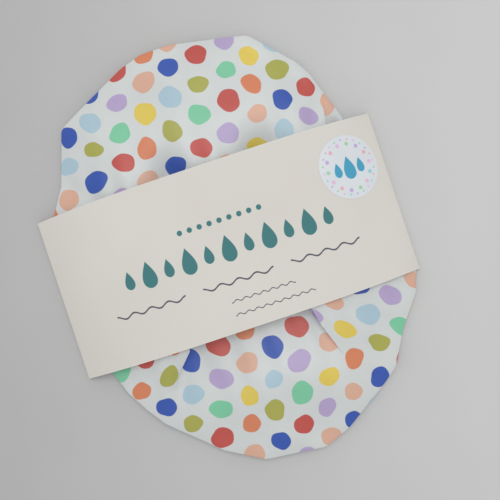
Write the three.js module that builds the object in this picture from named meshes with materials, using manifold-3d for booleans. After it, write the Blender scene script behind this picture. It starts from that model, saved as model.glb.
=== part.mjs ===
// A child's shower cap of laminated cotton, folded flat and held in a card sleeve.
// Millimetres, +Z up: the sleeve runs along X, slides off along Y, and lies on the table at z = 0.
import * as THREE from 'three';
import { mergeVertices } from 'three/addons/utils/BufferGeometryUtils.js';
import Module from 'manifold-3d';

// Folded cap, in its own frame before it is turned in the sleeve
const CAP_LENGTH = 260;
const CAP_WIDTH = 202;
const CAP_TILT_DEGREES = 5;
const OUTLINE_FULLNESS = 2.1;
const CLOTH = 0.4;
const GATHERS = 18;
const GATHER_RISE = 4.5;
const VALLEY_DEPTH = 4;
const VALLEY_WIDTH = 76;
const VALLEY_BANK = 14;
const VALLEY_LENGTH = 110;
const VALLEY_FADE = 35;

// Mouth, hem and elastic
const MOUTH_WIDTH = 90;
const MOUTH_LENGTH = 150;
const ELASTIC_WIDTH = 8;
const ELASTIC_THICKNESS = 0.9;
const ELASTIC_ROOM = 0.25;
const ELASTIC_LAP = 14;
const SEAM_WIDTH = 3.4;
const SEAM_GAP = 0.3;
const THREAD = 0.35;
const THREAD_GAP = 0.1;
const LAP_STITCHES = 5;

// Card sleeve and what is stuck to it
const CARD = 0.35;
const SLEEVE_HEIGHT = 98;
const SLEEVE_SHIFT = 3;
const ARCH_RISE = 18;
const ARCH_FULLNESS = 3.2;
const FOLD_RADIUS = 2;
const SIDE_ROOM = 3.5;
const SEAT_GAP = 0.3;
const LAP = 22;
const LAP_RAMP = 4;
const GLUE = 0.1;
const GLUE_GAP = 0.05;
const GLUE_MARGIN = 4;
const STICKER = 0.12;
const STICKER_DIAMETER = 38;
const STICKER_END_MARGIN = 4;
const STICKER_EDGE_MARGIN = 8.5;

// Fineness of the facets
const STEPS_PER_GATHER = 4;
const CROWN_SHARES = [0.14, 0.28, 0.42, 0.55, 0.67, 0.78, 0.87, 0.94, 1];
const EDGE_BEND_DEGREES = [50, 90, 130, 180];
const UNDERSIDE_SHARES = [0.3, 0.6, 0.85, 1];
const CASING_BEND_DEGREES = [-90, -150, 150, 90];
const ARCH_STEPS = 40;
const FOLD_STEPS = 6;
const STICKER_SIDES = 48;
const THREAD_SIDES = 5;
const STITCH_STEPS = 4;

const STATIONS = GATHERS * STEPS_PER_GATHER;
const TILT = THREE.MathUtils.degToRad(CAP_TILT_DEGREES);

// A point on a rounded oval; a fullness of 2 is an ellipse and more is squarer.
function ovalPoint(halfWidth, halfLength, fullness, angle) {
  const c = Math.cos(angle);
  const s = Math.sin(angle);
  const x = halfWidth * Math.sign(c) * Math.abs(c) ** (2 / fullness);
  const y = halfLength * Math.sign(s) * Math.abs(s) ** (2 / fullness);
  return new THREE.Vector2(x, y);
}

// Stations run round the cap, a few to each gather; each gather starts at a corner of the outline.
function stationAngle(station) {
  return (2 * Math.PI * (station / STEPS_PER_GATHER + 0.5)) / GATHERS;
}

// The folded edge is straight between the corners, as stiff cloth folds.
function outlineAt(station) {
  const gather = Math.floor(station / STEPS_PER_GATHER);
  const along = station / STEPS_PER_GATHER - gather;
  const corner = (index) =>
    ovalPoint(CAP_WIDTH / 2, CAP_LENGTH / 2, OUTLINE_FULLNESS, stationAngle(index * STEPS_PER_GATHER));
  return corner(gather).lerp(corner(gather + 1), along);
}

function mouthAt(station, outwards) {
  return ovalPoint(MOUTH_WIDTH / 2 + outwards, MOUTH_LENGTH / 2 + outwards, 2, stationAngle(station));
}

// How far the turned cap reaches along X, which the sleeve goes round.
function capReach() {
  const origin = new THREE.Vector2();
  let reach = 0;
  for (let station = 0; station < STATIONS; station += 1) {
    reach = Math.max(reach, outlineAt(station).rotateAround(origin, TILT).x);
  }
  return reach;
}

// Levels and places that follow from the sizes above
const CAP_REACH = capReach();
const LAP_STEP = CARD + GLUE + 2 * GLUE_GAP;
const CAP_BASE = LAP_STEP + CARD + SEAT_GAP;
const SLEEVE_HALF = CAP_REACH + SIDE_ROOM + CARD;
const FOLD_CENTRE = SLEEVE_HALF - FOLD_RADIUS;
const ARCH_SLOPE = Math.atan((ARCH_FULLNESS * ARCH_RISE) / SLEEVE_HALF);
const ARCH_HALF = FOLD_CENTRE + FOLD_RADIUS * Math.sin(ARCH_SLOPE);
const ARCH_FOOT = FOLD_RADIUS + FOLD_RADIUS * Math.cos(ARCH_SLOPE);
const CHANNEL_HEIGHT = 2 * ELASTIC_THICKNESS + 2 * THREAD_GAP + THREAD + 2 * ELASTIC_ROOM;
const CHANNEL_WIDTH = ELASTIC_WIDTH + 2 * ELASTIC_ROOM;
const CASING_BEND = (CHANNEL_HEIGHT + CLOTH) / 2;
const CHANNEL_START = CLOTH / 2 + CASING_BEND;
const CHANNEL_END = CHANNEL_START + CHANNEL_WIDTH;
const CASING_WIDTH = CHANNEL_END + SEAM_WIDTH;
const SEAM_LIFT = CLOTH + SEAM_GAP;
const LEAF_SLOPE = Math.hypot(1, (CASING_BEND - SEAM_LIFT) / SEAM_WIDTH);
const THREAD_LIFT = (SEAM_LIFT + CASING_BEND) / 2 + (CLOTH / 2 + THREAD_GAP + THREAD / 2) * LEAF_SLOPE;
const CASING_MIDDLE = CAP_BASE + Math.max(CLOTH / 2 + CASING_BEND, THREAD_LIFT + THREAD / 2);
const ELASTIC_START = CHANNEL_START + ELASTIC_ROOM;
const ELASTIC_BASE = CASING_MIDDLE - CHANNEL_HEIGHT / 2 + ELASTIC_ROOM;
const RIM_START = CHANNEL_END + SEAM_GAP;
const STICKER_X = SLEEVE_HALF - STICKER_END_MARGIN - STICKER_DIAMETER / 2;
const STICKER_Y = SLEEVE_HEIGHT / 2 - STICKER_EDGE_MARGIN - STICKER_DIAMETER / 2;

// The outer face of the sleeve's bowed front, along its length in X.
function archHeight(x) {
  return ARCH_FOOT + ARCH_RISE * (1 - Math.min(1, Math.abs(x) / ARCH_HALF) ** ARCH_FULLNESS);
}

function archSlope(x) {
  const share = Math.min(1, Math.abs(x) / ARCH_HALF);
  return ((ARCH_FULLNESS * ARCH_RISE) / ARCH_HALF) * share ** (ARCH_FULLNESS - 1);
}

// A level some way off the bow's outer face, measured square to it; below the face is negative.
function archOffset(x, distance) {
  return archHeight(x) + distance * Math.hypot(1, archSlope(x));
}

// A shallow valley runs along the middle, between the two tucks that the sleeve presses in.
function valley(point) {
  const smooth = THREE.MathUtils.smoothstep;
  const half = VALLEY_WIDTH / 2;
  const across = 1 - smooth(Math.abs(point.x), half - VALLEY_BANK / 2, half + VALLEY_BANK / 2);
  const along = 1 - smooth(Math.abs(point.y), VALLEY_LENGTH / 2, VALLEY_LENGTH / 2 + VALLEY_FADE);
  return VALLEY_DEPTH * across * along;
}

// The crown is never higher than the sleeve's bow over the cap's widest line, so the sleeve slides off.
function crownHeight(share, point) {
  return archOffset(share * CAP_REACH, -CARD - SEAT_GAP) - valley(point);
}

// A closed surface through closed sections; triangles with two corners in one place are left out.
// A section goes out along one face and back along the other, and both are split along the same
// diagonals, so a thin wall doesn't cross itself where it is twisted.
function loft(sections, isRing) {
  const size = sections[0].length;
  const triangles = [];
  const add = (a, b, c) => {
    if (!a.equals(b) && !b.equals(c) && !c.equals(a)) triangles.push([a, b, c]);
  };
  const spans = isRing ? sections.length : sections.length - 1;
  for (let i = 0; i < spans; i += 1) {
    const here = sections[i];
    const next = sections[(i + 1) % sections.length];
    for (let j = 0; j < size; j += 1) {
      const k = (j + 1) % size;
      if (j < size / 2) {
        add(here[j], next[j], next[k]);
        add(here[j], next[k], here[k]);
      } else {
        add(here[j], next[j], here[k]);
        add(next[j], next[k], here[k]);
      }
    }
  }
  if (!isRing) {
    const last = sections[sections.length - 1];
    for (let j = 1; j < size - 1; j += 1) {
      add(sections[0][0], sections[0][j], sections[0][j + 1]);
      add(last[0], last[j + 1], last[j]);
    }
  }
  const volume = triangles.reduce((sum, [a, b, c]) => sum + a.dot(b.clone().cross(c)), 0);
  const positions = [];
  for (const [a, b, c] of triangles) {
    for (const corner of volume > 0 ? [a, b, c] : [a, c, b]) positions.push(...corner.toArray());
  }
  const geometry = new THREE.BufferGeometry();
  geometry.setAttribute('position', new THREE.Float32BufferAttribute(positions, 3));
  const merged = mergeVertices(geometry);
  merged.computeVertexNormals();
  return merged;
}

// The two sides of a bent strip, from the line along its middle, as one closed outline.
function stripOutline(path, thickness) {
  const runs = path.slice(1).map((point, i) => point.clone().sub(path[i]).normalize());
  const left = [];
  const right = [];
  path.forEach((point, i) => {
    const into = runs[Math.max(0, i - 1)];
    const outOf = runs[Math.min(runs.length - 1, i)];
    const mitre = new THREE.Vector2(-into.y - outOf.y, into.x + outOf.x).normalize();
    const reach = thickness / 2 / (mitre.y * into.x - mitre.x * into.y);
    left.push(point.clone().addScaledVector(mitre, reach));
    right.push(point.clone().addScaledVector(mitre, -reach));
  });
  return [...left, ...right.reverse()];
}

function spatial(planPoint, z) {
  return new THREE.Vector3(planPoint.x, planPoint.y, z);
}

// The crown's outer face at one station: over the top, round the folded edge and under to the hem.
function crownFace(station) {
  const outline = outlineAt(station);
  const radial = outline.clone().normalize();
  const rimTop = crownHeight(1, outline);
  const bend = (rimTop - CAP_BASE) / 2;
  const topEnd = outline.clone().addScaledVector(radial, -bend);
  const face = [];
  for (const share of CROWN_SHARES) {
    const point = topEnd.clone().multiplyScalar(share);
    face.push(spatial(point, crownHeight(share, point)));
  }
  for (const degrees of EDGE_BEND_DEGREES) {
    const turn = THREE.MathUtils.degToRad(degrees);
    const point = topEnd.clone().addScaledVector(radial, bend * Math.sin(turn));
    face.push(spatial(point, CAP_BASE + bend + bend * Math.cos(turn)));
  }
  const gather = GATHER_RISE * Math.sin((Math.PI * (station % STEPS_PER_GATHER)) / STEPS_PER_GATHER) ** 2;
  const underLevel = CASING_MIDDLE - CLOTH / 2;
  const seam = mouthAt(station, CASING_WIDTH + SEAM_GAP);
  for (const share of UNDERSIDE_SHARES) {
    const point = topEnd.clone().lerp(seam, share);
    const level = THREE.MathUtils.lerp(CAP_BASE, underLevel, share);
    face.push(spatial(point, level + gather * Math.sin(Math.PI * share)));
  }
  face.push(spatial(mouthAt(station, RIM_START), underLevel));
  return { face, radial };
}

// Each station's section is the outer face and, one cloth thickness in, the inner face.
function crownPanel() {
  const centre = new THREE.Vector2();
  const pole = spatial(centre, crownHeight(0, centre));
  const innerPole = spatial(centre, pole.z - CLOTH);
  const sections = [];
  for (let station = 0; station < STATIONS; station += 1) {
    const { face, radial } = crownFace(station);
    const outwards = spatial(radial, 0);
    const inner = face.map((point, i) => {
      const before = i > 0 ? face[i - 1] : pole;
      const after = face[Math.min(face.length - 1, i + 1)];
      const run = after.clone().sub(before);
      const along = new THREE.Vector2(run.dot(outwards), run.z).normalize();
      return point.clone().addScaledVector(outwards, along.y * CLOTH).setZ(point.z - along.x * CLOTH);
    });
    sections.push([pole, ...face, ...inner.reverse(), innerPole]);
  }
  return loft(sections, true);
}

// A folded strip round the mouth, wide round the elastic and closed down on the crown's rim.
function hemCasing() {
  const path = [
    new THREE.Vector2(CASING_WIDTH, CASING_MIDDLE - SEAM_LIFT),
    new THREE.Vector2(CHANNEL_END, CASING_MIDDLE - CASING_BEND),
  ];
  for (const degrees of CASING_BEND_DEGREES) {
    const turn = THREE.MathUtils.degToRad(degrees);
    const out = CHANNEL_START + CASING_BEND * Math.cos(turn);
    path.push(new THREE.Vector2(out, CASING_MIDDLE + CASING_BEND * Math.sin(turn)));
  }
  path.push(new THREE.Vector2(CHANNEL_END, CASING_MIDDLE + CASING_BEND));
  path.push(new THREE.Vector2(CASING_WIDTH, CASING_MIDDLE + SEAM_LIFT));
  const outline = stripOutline(path, CLOTH);
  const sections = [];
  for (let station = 0; station < STATIONS; station += 1) {
    sections.push(outline.map((corner) => spatial(mouthAt(station, corner.x), corner.y)));
  }
  return loft(sections, true);
}

// The elastic goes once round the mouth; its last stretch rises and laps over its first.
function elasticLevel(station, lapStations) {
  const rise = THREE.MathUtils.smoothstep(station, STATIONS - lapStations, STATIONS - 1);
  return ELASTIC_BASE + rise * (ELASTIC_THICKNESS + THREAD_GAP);
}

function elasticStations() {
  const middle = ELASTIC_START + ELASTIC_WIDTH / 2;
  const step = mouthAt(0, middle).distanceTo(mouthAt(1, middle));
  return Math.ceil(ELASTIC_LAP / step);
}

function elasticLoop() {
  const lapStations = elasticStations();
  const sections = [];
  for (let station = 0; station <= STATIONS + lapStations; station += 1) {
    const base = elasticLevel(station, lapStations);
    const top = base + ELASTIC_THICKNESS;
    const inner = mouthAt(station, ELASTIC_START);
    const outer = mouthAt(station, ELASTIC_START + ELASTIC_WIDTH);
    sections.push([spatial(inner, base), spatial(outer, base), spatial(outer, top), spatial(inner, top)]);
  }
  return loft(sections, false);
}

// A zigzag of thread on the lap of the elastic.
function elasticLapStitch() {
  const lapStations = elasticStations();
  const level = ELASTIC_BASE + 2 * (ELASTIC_THICKNESS + THREAD_GAP) + THREAD / 2;
  const margin = ELASTIC_ROOM + THREAD;
  const points = [];
  for (let i = 0; i <= 2 * LAP_STITCHES; i += 1) {
    const station = STATIONS + (lapStations * (i + 0.5)) / (2 * LAP_STITCHES + 1);
    const out = i % 2 ? ELASTIC_START + ELASTIC_WIDTH - margin : ELASTIC_START + margin;
    points.push(spatial(mouthAt(station, out), level));
  }
  const section = new THREE.Shape().absarc(0, 0, THREAD / 2, 0, 2 * Math.PI);
  return new THREE.ExtrudeGeometry(section, {
    extrudePath: new THREE.CatmullRomCurve3(points),
    steps: STITCH_STEPS * points.length,
    curveSegments: THREAD_SIDES,
  });
}

// One thread of the hem's seam: a ring along the middle of the seam, on one side of the casing.
function hemThread(side) {
  const out = (CHANNEL_END + CASING_WIDTH) / 2;
  const level = CASING_MIDDLE + side * THREAD_LIFT;
  const sections = [];
  for (let station = 0; station < STATIONS; station += 1) {
    const section = [];
    for (let i = 0; i < THREAD_SIDES; i += 1) {
      const turn = (2 * Math.PI * i) / THREAD_SIDES;
      const point = mouthAt(station, out + (THREAD / 2) * Math.cos(turn));
      section.push(spatial(point, level + (THREAD / 2) * Math.sin(turn)));
    }
    sections.push(section);
  }
  return loft(sections, true);
}

// The line along the middle of the card's thickness, from the flap under the lap to the flap over it.
function sleevePath() {
  const half = CARD / 2;
  const radius = FOLD_RADIUS - half;
  const path = [new THREE.Vector2(LAP / 2, half)];
  const fold = (side, from, to) => {
    for (let i = 0; i <= FOLD_STEPS; i += 1) {
      const turn = THREE.MathUtils.lerp(from, to, i / FOLD_STEPS);
      const x = side * (FOLD_CENTRE + radius * Math.cos(turn));
      path.push(new THREE.Vector2(x, FOLD_RADIUS + radius * Math.sin(turn)));
    }
  };
  const top = Math.PI / 2 - ARCH_SLOPE;
  fold(-1, -Math.PI / 2, top);
  for (let i = 1; i < ARCH_STEPS; i += 1) {
    const x = THREE.MathUtils.lerp(-ARCH_HALF, ARCH_HALF, i / ARCH_STEPS);
    path.push(new THREE.Vector2(x, archOffset(x, -half)));
  }
  fold(1, top, -Math.PI / 2);
  path.push(new THREE.Vector2(LAP / 2 + SEAT_GAP + LAP_RAMP, half));
  path.push(new THREE.Vector2(LAP / 2 + SEAT_GAP, half + LAP_STEP));
  path.push(new THREE.Vector2(-LAP / 2, half + LAP_STEP));
  return path;
}

// A section in X and Z drawn out along Y, centred on y = 0.
function drawnOut(outline, length) {
  const section = new THREE.Shape(outline);
  const geometry = new THREE.ExtrudeGeometry(section, { depth: length, bevelEnabled: false });
  return geometry.rotateX(Math.PI / 2).translate(0, length / 2, 0);
}

function cardSleeve() {
  return drawnOut(stripOutline(sleevePath(), CARD), SLEEVE_HEIGHT);
}

function glueStrip() {
  const width = LAP - 2 * GLUE_MARGIN;
  const length = SLEEVE_HEIGHT - 2 * GLUE_MARGIN;
  return new THREE.BoxGeometry(width, length, GLUE).translate(0, 0, CARD + GLUE_GAP + GLUE / 2);
}

const wasm = await Module();
wasm.setup();

function toSolid(geometry) {
  const bare = geometry.index ? geometry.toNonIndexed() : geometry.clone();
  bare.deleteAttribute('normal');
  bare.deleteAttribute('uv');
  const merged = mergeVertices(bare);
  const mesh = new wasm.Mesh({
    numProp: 3,
    vertProperties: new Float32Array(merged.attributes.position.array),
    triVerts: new Uint32Array(merged.index.array),
  });
  return new wasm.Manifold(mesh);
}

function toGeometry(solid) {
  const mesh = solid.getMesh();
  const geometry = new THREE.BufferGeometry();
  geometry.setAttribute('position', new THREE.BufferAttribute(mesh.vertProperties, mesh.numProp));
  geometry.setIndex(new THREE.BufferAttribute(mesh.triVerts, 1));
  geometry.computeVertexNormals();
  return geometry;
}

// A round disc cut square to the card from a skin that follows the card's bow.
function roundSticker() {
  const path = [];
  for (let i = 0; i <= ARCH_STEPS; i += 1) {
    const x = THREE.MathUtils.lerp(-ARCH_HALF, ARCH_HALF, i / ARCH_STEPS);
    path.push(new THREE.Vector2(x, archOffset(x, GLUE_GAP + STICKER / 2)));
  }
  const skin = drawnOut(stripOutline(path, STICKER), SLEEVE_HEIGHT);
  const radius = STICKER_DIAMETER / 2;
  const punch = new THREE.CylinderGeometry(radius, radius, STICKER_DIAMETER, STICKER_SIDES);
  punch.rotateX(Math.PI / 2).rotateY(Math.atan(archSlope(STICKER_X)));
  punch.translate(STICKER_X, STICKER_Y, archHeight(STICKER_X));
  return toGeometry(toSolid(skin).intersect(toSolid(punch)));
}

function piece(name, geometry, color, roughness) {
  const material = new THREE.MeshStandardMaterial({ color, roughness, metalness: 0 });
  const mesh = new THREE.Mesh(geometry, material);
  mesh.name = name;
  return mesh;
}

// The cap lies a little turned in its sleeve, and the sleeve sits a little above the cap's middle.
const cap = new THREE.Group();
cap.rotation.z = TILT;
cap.add(piece('crown_panel', crownPanel(), 0xeef2f3, 0.45));
cap.add(piece('hem_casing', hemCasing(), 0xe6ecee, 0.5));
cap.add(piece('elastic_loop', elasticLoop(), 0xf4f4f0, 0.85));
cap.add(piece('elastic_lap_stitch', elasticLapStitch(), 0xffffff, 0.8));
cap.add(piece('hem_needle_thread', hemThread(-1), 0xffffff, 0.8));
cap.add(piece('hem_bobbin_thread', hemThread(1), 0xffffff, 0.8));

const sleeve = new THREE.Group();
sleeve.position.y = SLEEVE_SHIFT;
sleeve.add(piece('card_sleeve', cardSleeve(), 0xd9d5ce, 0.85));
sleeve.add(piece('sleeve_glue_strip', glueStrip(), 0xe8e2cc, 0.4));
sleeve.add(piece('round_sticker', roundSticker(), 0xe4e8ee, 0.4));

const part = new THREE.Group();
part.add(cap, sleeve);

export default part;
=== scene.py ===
# A child's shower cap of dotted laminated cotton, folded flat and held in a card sleeve.
# Metres, in the part's own frame: the sleeve runs along X and slides off along Y, on a table at z = 0.
import math

import bmesh
import bpy
from mathutils import Matrix, Vector, noise
from mathutils.geometry import intersect_line_line_2d


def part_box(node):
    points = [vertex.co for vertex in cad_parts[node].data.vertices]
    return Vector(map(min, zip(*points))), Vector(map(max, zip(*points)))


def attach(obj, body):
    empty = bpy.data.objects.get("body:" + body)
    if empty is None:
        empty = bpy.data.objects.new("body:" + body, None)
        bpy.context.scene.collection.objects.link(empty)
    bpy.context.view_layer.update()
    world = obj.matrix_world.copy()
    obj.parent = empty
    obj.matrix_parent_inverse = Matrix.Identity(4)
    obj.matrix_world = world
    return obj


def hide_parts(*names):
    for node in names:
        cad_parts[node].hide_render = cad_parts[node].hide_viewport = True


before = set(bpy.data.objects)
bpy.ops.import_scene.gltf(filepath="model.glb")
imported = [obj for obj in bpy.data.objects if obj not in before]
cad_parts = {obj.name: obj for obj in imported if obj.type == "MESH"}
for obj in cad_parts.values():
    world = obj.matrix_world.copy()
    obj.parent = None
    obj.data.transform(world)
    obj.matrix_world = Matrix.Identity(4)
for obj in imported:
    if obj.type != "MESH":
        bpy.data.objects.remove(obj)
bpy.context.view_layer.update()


# Crown panel
# One circle of thin cotton with a clear waterproof film on its printed face and a plain white back. The
# elastic draws its edge in, so it lies as a flat pillow, rolled at the edge and gathered underneath. The
# sleeve presses a valley into its top, with a tuck on either side and two pockets at the upper end.
FLAT_RADIUS = 0.176
CLOTH = 0.0004
CAP_BASE = 0.0012
CAP_TURN = math.radians(5)

# Rings and spokes of the flat circle
SPOKES = 520
TOP_RINGS = 49
ROLL_RINGS = 8
UNDER_RINGS = 33
MERGE = 1e-6

# Corners of the folded edge, seen from above
OUTLINE = [
    (0.1005, -0.0200), (0.0965, 0.0200), (0.0896, 0.0547), (0.0834, 0.0720), (0.0785, 0.0862),
    (0.0735, 0.0945), (0.0570, 0.1128), (0.0505, 0.1195), (0.0037, 0.1287), (-0.0142, 0.1284),
    (-0.0280, 0.1241), (-0.0730, 0.1012), (-0.0840, 0.0690), (-0.0955, 0.0510), (-0.0985, 0.0150),
    (-0.0965, -0.0200), (-0.0900, -0.0478), (-0.0852, -0.0620), (-0.0774, -0.0752), (-0.0689, -0.0869),
    (-0.0418, -0.1120), (-0.0185, -0.1255), (0.0172, -0.1295), (0.0340, -0.1232), (0.0620, -0.1052),
    (0.0725, -0.0972), (0.0835, -0.0775), (0.0980, -0.0590), (0.1020, -0.0475),
]
CAP_REACH = max(abs(x) for x, y in OUTLINE)
EDGE_SAMPLES = 720
CORNER_ROUNDING = 1

# The bow of the card, which the cloth lies under
card_low, card_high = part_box("card_sleeve")
CARD = 0.00035
SEAT_GAP = 0.0003
FOLD_RADIUS = 0.002
ARCH_RISE = 0.018
ARCH_FULLNESS = 3.2
ARCH_FOOT = card_high.z - ARCH_RISE
FOLD_CENTRE = card_high.x - FOLD_RADIUS
ARCH_HALF = FOLD_CENTRE + math.sqrt(FOLD_RADIUS ** 2 - (ARCH_FOOT - FOLD_RADIUS) ** 2)

# The valley, and the x, y and spread of each pocket
VALLEY_DEPTH = 0.0085
VALLEY_RUN_DOWN = (0.048, 0.090)
VALLEY_RUN_UP = (0.020, 0.060)
VALLEY_BANK = 0.008
POCKETS = ((-0.020, 0.053, 0.013), (0.038, 0.050, 0.016))
POCKET_DEPTH = 0.0075

# Tucks: the side that each folds to; along it, the x and y, the cloth that it hides and its softness
RIGHT_TUCK = (1, [
    (0.0445, -0.0800, 0.0, 1.0),
    (0.0385, -0.0578, 0.0060, 0.25),
    (0.0362, -0.0440, 0.0100, 0.0),
    (0.0362, -0.0100, 0.0120, 0.0),
    (0.0362, 0.0350, 0.0, 1.0),
])
LEFT_TUCK = (-1, [
    (-0.0570, -0.0680, 0.0, 1.0),
    (-0.0510, -0.0587, 0.0020, 0.9),
    (-0.0420, -0.0483, 0.0060, 0.6),
    (-0.0405, -0.0100, 0.0090, 0.4),
    (-0.0405, 0.0350, 0.0, 1.0),
])
TONGUE = (1, [
    (0.0740, 0.0350, 0.0, 0.0),
    (0.0763, 0.0524, 0.0050, 0.0),
    (0.0822, 0.0745, 0.0, 0.0),
])
TONGUE_HIDDEN = max(hidden for x, y, hidden, softness in TONGUE[1])
TONGUE_DROP = 0.0035

# Both creases of a tuck, in shares of the cloth that it hides, and how far round them the mesh is cut
CREASES = (0.25, 0.75)
CREASE_CUT_REACH = 0.016
CREASE_CUT_STRETCH = 0.004

# Relief of the top: each band and CREASE_RUN in shares of the way to the edge, DRAWN_RUN in metres
RELIEF = 0.0018
RELIEF_SCALES = (24, 70)
RELIEF_MIX = (0.5, 0.4, 0.1)
RELIEF_BAND = (0.82, 1.0)
DRAWN_DEPTH = 0.0008
DRAWN_PITCH = 0.017
DRAWN_WANDER = 0.007
DRAWN_RUN = (0.045, 0.100)
CREASE = 0.0012
CREASE_SPREAD = 0.06
CREASE_RUN = (0.6, 0.9)
RIM_BAND = (0.93, 1.0)
RIM_LIFT = 0.0035
RIM_LIFT_WAVES = 3.2
RIM_LIFT_BAND = (0.7, 1.0)
RIM_LIFT_FADE = 0.4
ROLL_FLATNESS = 0.6

# The gathered underside; a drift or sway is waves round the cap, each with its size, count and shift
MOUTH_HALF = (0.045, 0.075)
CAP_HALF = (0.101, 0.130)
RIM_START = 0.0108
GATHERS = 52
GATHER_DRIFT = ((1.3, 3, 0.7), (0.9, 7, 2.1))
GATHER_RISE = 0.0105
GATHER_MEAN = 0.85
GATHER_SWAY = ((0.15, 5, 1), (0.12, 11, 2.6))
GATHER_FOOT = 0.2
GATHER_CREST = 0.78
GATHER_LEAN = 0.0005
GATHER_CLEARANCE = 0.002
LAP_SPREAD = 1.03
SEAM_LEVEL = 0.00195
SEAM_PUCKER = 0.0018
SEAM_SLACK = 0.00025
SEWN_WIDTH = 0.004
TURN_AHEAD = 0.01
SEARCH_START = 0.08
SEARCH_HALVINGS = 24
CRISP_FOLD = math.radians(70)


def smooth(value, start, end):
    """A soft step from 0 at start to 1 at end."""
    share = min(1.0, max(0.0, (value - start) / (end - start)))
    return share * share * (3 - 2 * share)


def mix(a, b, share):
    return a + (b - a) * share


def edge_samples():
    """Distances to the folded edge all round: straight between its slightly rounded corners."""
    corners = [Vector(corner) for corner in OUTLINE]
    sides = list(zip(corners, corners[1:] + corners[:1]))
    raw = []
    for step in range(EDGE_SAMPLES):
        turn = 2 * math.pi * step / EDGE_SAMPLES
        far = Vector((math.cos(turn), math.sin(turn)))
        hits = [intersect_line_line_2d(a, b, Vector((0, 0)), far) for a, b in sides]
        raw.append(max(hit.length for hit in hits if hit))
    spread = range(-CORNER_ROUNDING, CORNER_ROUNDING + 1)
    rounded = []
    for step in range(EDGE_SAMPLES):
        rounded.append(sum(raw[(step + k) % EDGE_SAMPLES] for k in spread) / len(spread))
    return rounded


edge = edge_samples()


def edge_reach(place):
    """How far the folded edge is from the middle, on the way through a place."""
    position = math.atan2(place.y, place.x) / (2 * math.pi) * EDGE_SAMPLES
    step = math.floor(position)
    return mix(edge[step % EDGE_SAMPLES], edge[(step + 1) % EDGE_SAMPLES], position - step)


def bow_height(x):
    """The outer face of the card's bowed front."""
    return ARCH_FOOT + ARCH_RISE * (1 - min(1, abs(x) / ARCH_HALF) ** ARCH_FULLNESS)


def bow_slope(x):
    share = min(1, abs(x) / ARCH_HALF)
    return ARCH_FULLNESS * ARCH_RISE / ARCH_HALF * share ** (ARCH_FULLNESS - 1)


def bow_offset(x, distance):
    """A level some way off the bow's outer face, measured square to it."""
    return bow_height(x) + distance * math.hypot(1, bow_slope(x))


ROLL = (bow_offset(CAP_REACH, -CARD - SEAT_GAP) - CAP_BASE) / 2
ROLL_OUT = ROLL_FLATNESS * ROLL


def knot_values(knots, along):
    """A tuck's line at some place along it, the cloth that it hides and how soft it is."""
    for start, end in zip(knots, knots[1:]):
        if along < end[1]:
            share = max(0.0, (along - start[1]) / (end[1] - start[1]))
            return [mix(first, second, share) for first, second in zip(start, end)]
    return knots[-1]


def fold_in(tuck, across, along):
    """Where a tuck takes a point of the cloth, how far over the fold it is, and the cloth hidden there."""
    side, knots = tuck
    line, _, hidden, softness = knot_values(knots, along)
    beyond = side * (across - line)
    near, far = (share * hidden for share in CREASES)
    step = min(1, max(0, (beyond - near) / (far - near))) if hidden else float(beyond > 0)
    slope = smooth(beyond, near - VALLEY_BANK, far + VALLEY_BANK)
    over = mix(step, slope, softness)
    if beyond > hidden:
        return across - side * hidden, over, hidden
    if beyond > far:
        return line + side * (beyond - hidden), over, hidden
    if beyond > near:
        return line + side * (hidden / 2 - beyond), over, hidden
    return across, over, hidden


def tucked(flat):
    """Where a point of the flat cloth lies once tucked, and its shares in the valley and the tongue."""
    across, over_right, hidden = fold_in(RIGHT_TUCK, flat.x, flat.y)
    across, over_left, hidden = fold_in(LEFT_TUCK, across, flat.y)
    across, over_lip, hidden = fold_in(TONGUE, across, flat.y)
    valley = (1 - over_right) * (1 - over_left)
    return Vector((across, flat.y)), valley, over_lip * hidden / TONGUE_HIDDEN


def rim_lift(place):
    """The folded edge rises here and there off the table, most of all at the cap's two ends."""
    turn = math.atan2(place.y, place.x)
    around = Vector((math.cos(turn), math.sin(turn), 0)) * RIM_LIFT_WAVES
    return RIM_LIFT * math.sin(turn) ** 2 * (0.5 + 0.5 * noise.noise(around))


def crown_level(share, place, valley, tongue):
    """The printed face on top: below the card's bow, so that the card can slide, with the cloth's relief."""
    level = bow_offset(share * CAP_REACH, -CARD - SEAT_GAP)
    along = (1 - smooth(place.y, *VALLEY_RUN_UP)) * (1 - smooth(-place.y, *VALLEY_RUN_DOWN))
    level -= VALLEY_DEPTH * valley * along
    level -= TONGUE_DROP * tongue * (1 - smooth(share, *RIM_BAND))
    for x, y, spread in POCKETS:
        off = (place - Vector((x, y))).length / spread
        level -= POCKET_DEPTH * math.exp(-off * off)
    broad, fine = (noise.noise(Vector((*(place * scale), scale))) for scale in RELIEF_SCALES)
    even, broad_share, fine_share = RELIEF_MIX
    inner = 1 - smooth(share, *RELIEF_BAND)
    level -= RELIEF * (even + broad_share * broad + fine_share * fine) * inner
    drawn = math.cos(2 * math.pi * (place.x + DRAWN_WANDER * broad) / DRAWN_PITCH)
    level -= DRAWN_DEPTH * (0.5 + 0.5 * drawn) * (1 - smooth(abs(place.y), *DRAWN_RUN)) * inner
    turn = math.atan2(place.y, place.x)
    run_in = smooth(share, *CREASE_RUN) * (1 - smooth(share, *RIM_BAND))
    for x, y in OUTLINE:
        off = (turn - math.atan2(y, x) + math.pi) % (2 * math.pi) - math.pi
        level -= CREASE * run_in * math.exp(-((off / CREASE_SPREAD) ** 2))
    return level + rim_lift(place) * smooth(share, *RIM_LIFT_BAND)


def hem_place(turn, out):
    """A point of the oval round the mouth, some way out from its edge."""
    point = Vector(((MOUTH_HALF[0] + out) * math.cos(turn), (MOUTH_HALF[1] + out) * math.sin(turn)))
    return Matrix.Rotation(CAP_TURN, 2) @ point


def with_waves(level, turn, waves):
    """A level with waves round the cap added to it."""
    for size, count, shift in waves:
        level += size * math.sin(count * turn + shift)
    return level


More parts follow.
